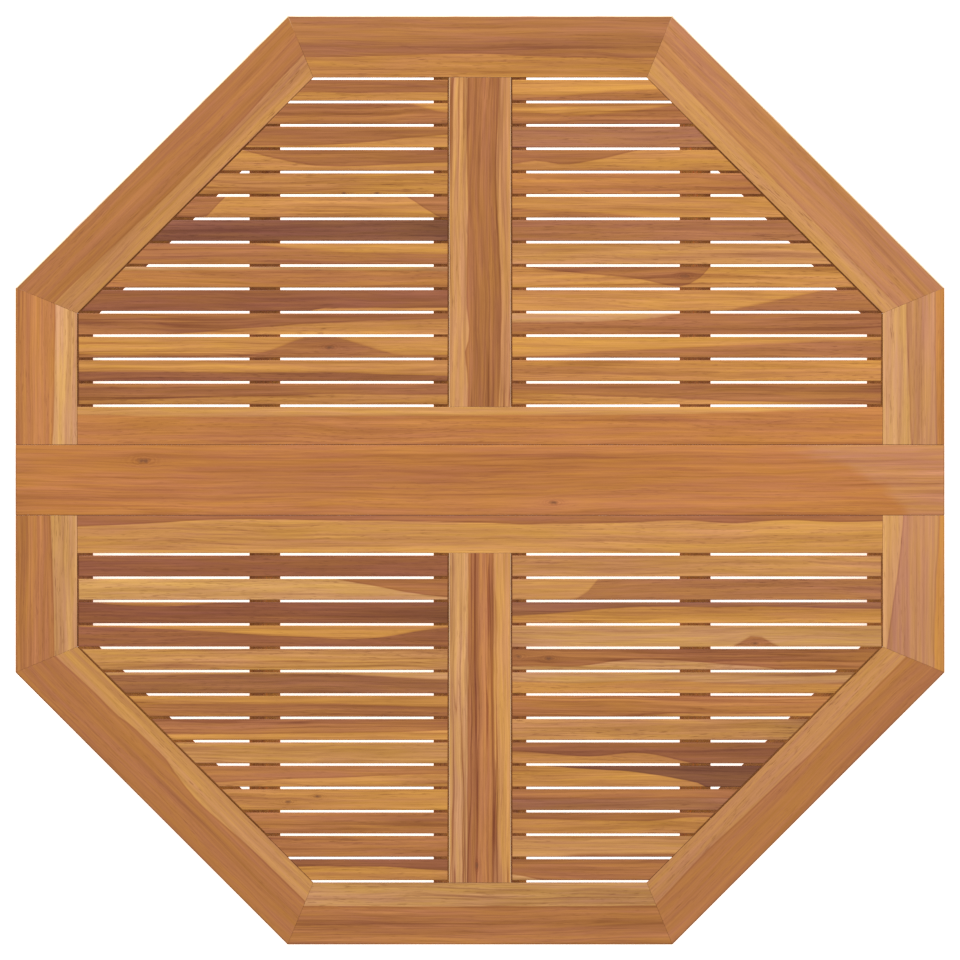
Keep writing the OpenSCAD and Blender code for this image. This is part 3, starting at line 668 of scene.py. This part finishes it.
# ---------------------------------------------------------------- slats
# (upper tone, lower tone, [(x, boundary as a fraction of the width from the upper edge)], extras)
# in the order of the rows from the top of the plan to the bottom
ALL, NONE = [(-600, 1.2)], [(-600, -0.2)]
SLATS = {
    "rear_left": [
        ("B", "G", [(-520, 0.55), (-45, 0.60)], {}),
        ("G", "B", [(-110, -0.15), (-93, 0.0), (-45, 0.45)], {}),
        ("B", "G", [(-520, 0.70), (-207, 0.88), (-45, 0.40)], {}),
        ("B", "G", [(-315, -0.1), (-300, 0.1), (-207, 0.80), (-45, 0.60)], {}),
        ("G", "G", NONE, dict(knots=[(-176, 0.95, 3.5), (-133, 0.95, 3.0)])),
        ("B", "G", [(-400, 1.0), (-352, 0.9), (-325, -0.15), (-105, -0.15), (-70, 0.55), (-45, 1.1)],
         dict(look=(1.3, 0.8, 0.5))),
        ("P", "P", NONE, dict(shade=[(-400, 1.1), (-100, 0.98), (-45, 0.85)])),
        ("G", "B", [(-310, -0.1), (-298, 0.0), (-207, 0.35), (-45, 0.55)], {}),
        ("T", "O", [(-520, 0.15), (-45, 0.20)], {}),
        ("R", "G", [(-235, 1.1), (-200, 0.85), (-45, 0.85)], {}),
        ("B", "G", [(-400, 1.05), (-388, 1.0), (-207, 0.45), (-45, 0.25)], {}),
        ("G", "B", [(-520, 0.85), (-290, 0.80), (-226, 0.05), (-190, 0.0), (-150, 0.4), (-103, 0.85), (-45, 0.85)],
         dict(knots=[(-194, 0.5, 5.0)])),
        ("G", "R", [(-520, 0.55), (-207, 0.60), (-45, 0.75)], {}),
        ("B", "G", [(-520, 0.80), (-207, 0.50), (-45, 0.50)], {}),
    ],
    "rear_right": [
        ("G", "B", [(41, 0.90), (207, 0.50), (300, 0.40)], {}),
        ("G", "B", [(41, 0.40), (123, 0.55), (207, 0.30), (271, -0.05), (290, -0.15)], {}),
        ("M", "M", NONE, {}),
        ("B", "G", [(41, 0.70), (70, 0.55), (115, 0.70), (199, 0.10), (230, -0.15)], {}),
        ("OB", "OB", NONE, dict(shade=[(40, 1.08), (400, 1.04)])),
        ("G", "B", [(41, 0.55), (150, 0.75), (207, 0.95), (240, 1.15)], {}),
        ("MB", "MB", NONE, {}),
        ("OT", "OT", NONE, {}),
        ("B", "G", [(41, -0.1), (52, 0.0), (130, 0.30), (207, 0.55), (258, 0.90), (285, 0.45), (298, -0.15)],
         dict(knots=[(265, 0.45, 5.0)])),
        ("G", "B", [(300, 1.15), (320, 1.0), (452, 0.0), (470, -0.15)], {}),
        ("T", "B", [(41, 0.45), (207, 0.30), (271, -0.05), (290, -0.15)], {}),
        ("G", "B", [(41, 0.95), (207, 0.60), (517, 0.15)], {}),
        ("GO", "GO", NONE, {}),
        ("B", "G", [(41, 0.45), (207, 0.65), (491, 0.95)], {}),
    ],
    "front_left": [
        ("R", "R", NONE, {}),
        ("B", "T", [(-200, -0.15), (-186, 0.0), (-45, 0.85)], {}),
        ("G", "R", [(-515, -0.1), (-501, 0.0), (-415, 0.20), (-329, 0.0), (-315, -0.15)],
         dict(shade=[(-250, 1.0), (-100, 0.86), (-45, 0.78)])),
        ("G", "R", [(-520, 0.0), (-207, 0.55), (-142, 0.60), (-45, 0.10)], {}),
        ("TG", "TG", NONE, {}),
        ("T", "PB", [(-520, 0.15), (-207, 0.05), (-45, 0.35)], {}),
        ("G", "B", [(-520, 0.45), (-207, 0.40), (-45, 0.60)], {}),
        ("B", "G", [(-520, 0.70), (-207, 0.65), (-45, 0.50)], {}),
        ("TG", "TG", NONE, {}),
        ("B", "G", [(-520, 0.95), (-207, 0.60), (-45, 0.40)], {}),
        ("G", "G", NONE, dict(knots=[(-248, 0.6, 4.0), (-210, 0.35, 4.0)])),
        ("OB", "OB", NONE, dict(look=(1.4, 0.9, 0.5))),
        ("OB", "OB", NONE, {}),
        ("R", "G", [(-520, 0.50), (-155, 0.30), (-45, 0.50)], {}),
    ],
    "front_right": [
        ("OT", "OT", NONE, {}),
        ("TO", "MB", [(41, 1.2), (115, 1.05), (140, 0.6), (158, -0.15)], {}),
        ("M", "G", [(41, 0.65), (207, 0.25), (517, 0.30)], {}),
        ("T", "B", [(315, 1.15), (328, 1.0), (355, 0.45), (386, 1.0), (400, 1.15)], dict(knots=[(355, 0.85, 4.5)])),
        ("B", "T", [(123, 0.80), (207, 0.50), (362, 0.85), (400, 1.1)],
         dict(knots=[(49, 0.35, 5.0), (89, 0.45, 5.0)])),
        ("T", "G", [(41, 0.45), (120, 0.55), (230, 0.42), (350, 0.55), (517, 0.50)], {}),
        ("O", "G", [(190, 1.1), (220, 0.85), (517, 0.85)], {}),
        ("OT", "OT", NONE, dict(look=(1.3, 1.0, 0.8), shade=[(40, 1.0), (330, 0.97), (395, 0.86), (420, 0.78)])),
        ("RB", "G", [(41, 0.40), (136, 0.65), (207, 0.50), (284, 1.05), (300, 1.15)],
         dict(shade=[(40, 1.0), (250, 1.0), (330, 0.88)])),
        ("P", "G", [(60, -0.15), (77, 0.0), (207, 0.30), (284, 0.85), (300, 1.15)], {}),
        ("OB", "M", [(41, 0.5), (300, 0.4)], {}),
        ("B", "G", [(41, 0.30), (207, 0.35), (280, 0.20)], {}),
        ("GT", "B", [(100, 1.05), (123, 0.90), (300, 0.85)], dict(look=(1.0, 0.5, 1.0))),
        ("OR", "T", [(41, 0.70), (90, 1.05), (110, 1.15)], {}),
    ],
}
S_X1 = B - END_GAP
S_D = D_IN - END_GAP * math.sqrt(2)
for key, rows in SLATS.items():
    half, hand = key.split("_")
    s = -1 if hand == "left" else 1
    f = 1 if half == "rear" else -1
    p = Piece()
    for r, (a, b, line, extra) in enumerate(rows):
        i = SLAT_N - 1 - r if half == "rear" else r
        y0 = slat_y(i)
        y1 = y0 + SLAT_W
        d = D_IN if y0 > D_IN - BX1 else S_D
        xa, xb = min(S_X1, d - y0), min(S_X1, d - y1)
        yc = S_D - S_X1
        x0 = STILE + END_GAP
        if y0 < yc < y1:
            pts = [(x0, y0), (xa, y0), (S_X1, yc), (xb, y1), (x0, y1)]
        else:
            pts = [(x0, y0), (xa, y0), (xb, y1), (x0, y1)]
        pts = [(s * x, f * y) for x, y in pts]
        if s * f < 0:
            pts.reverse()
        up = max(y for _, y in pts)
        extra = dict(extra)
        if "knots" in extra:
            extra["knots"] = [(x, up - k * SLAT_W, size) for x, k, size in extra["knots"]]
        if key == "rear_left":
            extra.setdefault("shade", [(-600, 0.95), (0, 0.95)])
        extra.setdefault("look", (1.1, 0.8, 0.6))
        # edge 0.5: painted shade on the eased edges beside the gaps
        p.board(pts, Z_SLAT, Z_TOP, ease=1.0, tones=(a, b, a), edge=(0, 0.5, 0.5),
                band=[(x, up - k * SLAT_W) for x, k in line], **extra)
    p.make(key + "_slats_wood", wood_slats, half + "_leaf", "teak_slats", key + "_slats")

# ---------------------------------------------------------------- ledgers
for half, f in (("rear", 1), ("front", -1)):
    p = Piece()
    for s in (-1, 1):
        end = [(B, RAIL), (B, HI - 0.02), (C, HC - 0.02), (C, RAIL)]
        dia = [(B, HI), (BX1, D_IN - BX1), (BX1, D_LED - BX1), (C, HC)]
        for pts, ang in ((end, 90), (dia, -45 * s * f)):
            q = [(s * x, f * y) for x, y in pts]
            if s * f < 0:
                q.reverse()
            p.board(q, Z_LOW, Z_SLAT, ang=ang, ease=0.6, step=60, tones=("OR", "O", "O"),
                    band=[(-900, (q[0][0] + q[1][0]) / 2 if ang == 90 else 0)], look=(1.0, 0.4, 0.3))
    p.make(half + "_edge_ledgers_wood", wood_under, half + "_leaf", "teak_under", half + "_edge_ledgers")
    p = Piece()
    for s in (-1, 1):
        q = [(s * x, f * y) for x, y in ((STILE, RAIL), (STILE + LEDGER, RAIL), (STILE + LEDGER, B), (STILE, B))]
        if s * f < 0:
            q.reverse()
        p.board(q, Z_LOW, Z_SLAT, ang=90, ease=0.6, step=60, tones=("OR", "O", "O"),
                band=[(-900, -50 * s)], look=(1.0, 0.4, 0.3))
    p.make(half + "_stile_ledgers_wood", wood_under, half + "_leaf", "teak_under", half + "_stile_ledgers")

# ---------------------------------------------------------------- the carried-over CAD members
along = {
    "x": teak("teak_base_x", ("OM", "OW"), "x", 1.0, 0.6, 0.5, 0.55, 0.0),
    "y": teak("teak_base_y", ("OM", "OW"), "y", 1.0, 0.6, 0.5, 0.55, 1.7),
    "z": teak("teak_base_z", ("M", "OW"), "z", 1.0, 0.6, 0.5, 0.55, 3.1),
    "xg": teak("teak_gate_x", ("O", "TW"), "x", 1.0, 0.6, 0.5, 0.55, 5.3),
    "bu": teak("teak_brace_rear", ("O", "TW"), "x", 1.0, 0.6, 0.5, 0.55, 6.1, tilt=BRACE),
    "bd": teak("teak_brace_front", ("O", "TW"), "x", 1.0, 0.6, 0.5, 0.55, 6.9, tilt=-BRACE),
    "zg": teak("teak_gate_z", ("OM", "OW"), "z", 1.1, 0.6, 0.5, 0.55, 7.9),
    # the battens glow with their own colour too: painted light in the shade under the slats
    "yu": teak("teak_batten_y", ("OR", "O"), "y", 1.0, 0.5, 0.3, 0.58, 9.7, 0.30),
}
steel = metal("stainless_steel", (0.62, 0.61, 0.59), 0.30, (60, 900, 900))
screw = metal("screw_steel", (0.55, 0.54, 0.52), 0.34, (300, 300, 300))
brass = metal("washer_brass", (0.72, 0.52, 0.22), 0.32, (400, 400, 400), (0.45, 0.30, 0.12))
rubber = moulded("pad_rubber", (0.030, 0.030, 0.032), 0.75)
glide = moulded("glide_plastic", (0.045, 0.043, 0.040), 0.45)

WOOD = {
    "upper_rail": "x", "lower_stretcher": "x", "left_end_post": "z", "right_end_post": "z",
    "left_foot": "y", "right_foot": "y", "plank_cleats": "y", "upper_pivot_blocks": "x",
    "lower_pivot_block": "y",
    "rear_battens": "yu", "front_battens": "yu", "rear_gate_stop": "y", "front_gate_stop": "y",
    "rear_gate_stile": "zg", "front_gate_stile": "zg", "rear_gate_leg": "zg", "front_gate_leg": "zg",
    "rear_gate_rail": "xg", "front_gate_rail": "xg", "rear_gate_brace": "bu", "front_gate_brace": "bd",
}
OTHER = {
    "foot_pads": rubber, "rear_gate_glide": glide, "front_gate_glide": glide,
    "pivot_pins": steel, "pivot_washers": brass, "plank_hinge_plates": steel, "hinge_pins": steel,
    "rear_hinge_plates": steel, "front_hinge_plates": steel,
    "plank_hinge_screws": screw, "base_screws": screw, "rear_hinge_screws": screw,
    "rear_slat_screws": screw, "front_hinge_screws": screw, "front_slat_screws": screw,
}


def finish_node(name, material, width):
    """Gives a CAD member its material and eases its edges."""
    ob = nodes[name]
    ob.data.materials.clear()
    ob.data.materials.append(material)
    w = ob.modifiers.new("weld", "WELD")
    w.merge_threshold = 0.00002
    b = ob.modifiers.new("ease", "BEVEL")
    b.width, b.segments, b.limit_method, b.angle_limit = width, 2, "ANGLE", math.radians(40)
    b.harden_normals = True


for name, key in WOOD.items():
    finish_node(name, along[key], 0.0012 if "foot" in name or "leg" in name or "post" in name else 0.0007)
for name, material in OTHER.items():
    finish_node(name, material, {"foot_pads": 0.0015, "rear_gate_glide": 0.001, "front_gate_glide": 0.001}.get(name, 0.0002))

# ---------------------------------------------------------------- stage, light and camera
floor_mesh = bpy.data.meshes.new("floor")
floor_mesh.from_pydata([(-9, -9, 0), (9, -9, 0), (9, 9, 0), (-9, 9, 0)], [], [(0, 1, 2, 3)])
floor = bpy.data.objects.new("floor", floor_mesh)
bpy.context.scene.collection.objects.link(floor)
ft = Tree("pale_floor")
ft.bsdf.inputs["Base Color"].default_value = (0.93, 0.92, 0.90, 1)
ft.bsdf.inputs["Roughness"].default_value = 0.9
ft.bsdf.inputs["Specular IOR Level"].default_value = 0.1
ft.bsdf.inputs["Emission Color"].default_value = (1.0, 0.92, 0.82, 1)
ft.bsdf.inputs["Emission Strength"].default_value = 0.64
floor_mesh.materials.append(ft.mat)

world = bpy.data.worlds.new("studio")
world.use_nodes = True
world.node_tree.nodes["Background"].inputs[0].default_value = (1.0, 1.0, 1.0, 1)
world.node_tree.nodes["Background"].inputs[1].default_value = 0.74
bpy.context.scene.world = world


def area(name, place, aim, size, watts, colour=(1, 1, 1)):
    d = bpy.data.lights.new(name, "AREA")
    d.shape, d.size, d.energy, d.color = "SQUARE", size, watts, colour
    o = bpy.data.objects.new(name, d)
    o.location = place
    o.rotation_mode = "QUATERNION"
    o.rotation_quaternion = (Vector(aim) - Vector(place)).to_track_quat("-Z", "Y")
    bpy.context.scene.collection.objects.link(o)
    return o


area("key", (-1.0, 4.6, 2.4), (0, 0, 0.7), 2.0, 185)

cam_data = bpy.data.cameras.new("camera")
cam_data.type = "PERSP"
cam_data.sensor_width = 36.0
cam_data.lens = 1000.0
cam_data.clip_start, cam_data.clip_end = 0.1, 60.0
cam = bpy.data.objects.new("camera", cam_data)
cam.location = (0.0, 0.0, 0.75 + 1.240 * 1000.0 / 36.0)
cam.rotation_euler = (0.0, 0.0, 0.0)
bpy.context.scene.collection.objects.link(cam)
bpy.context.scene.camera = cam

view = bpy.context.scene.view_settings
view.view_transform = "Standard"
view.look = "None"
view.exposure = 0.0
view.gamma = 1.0
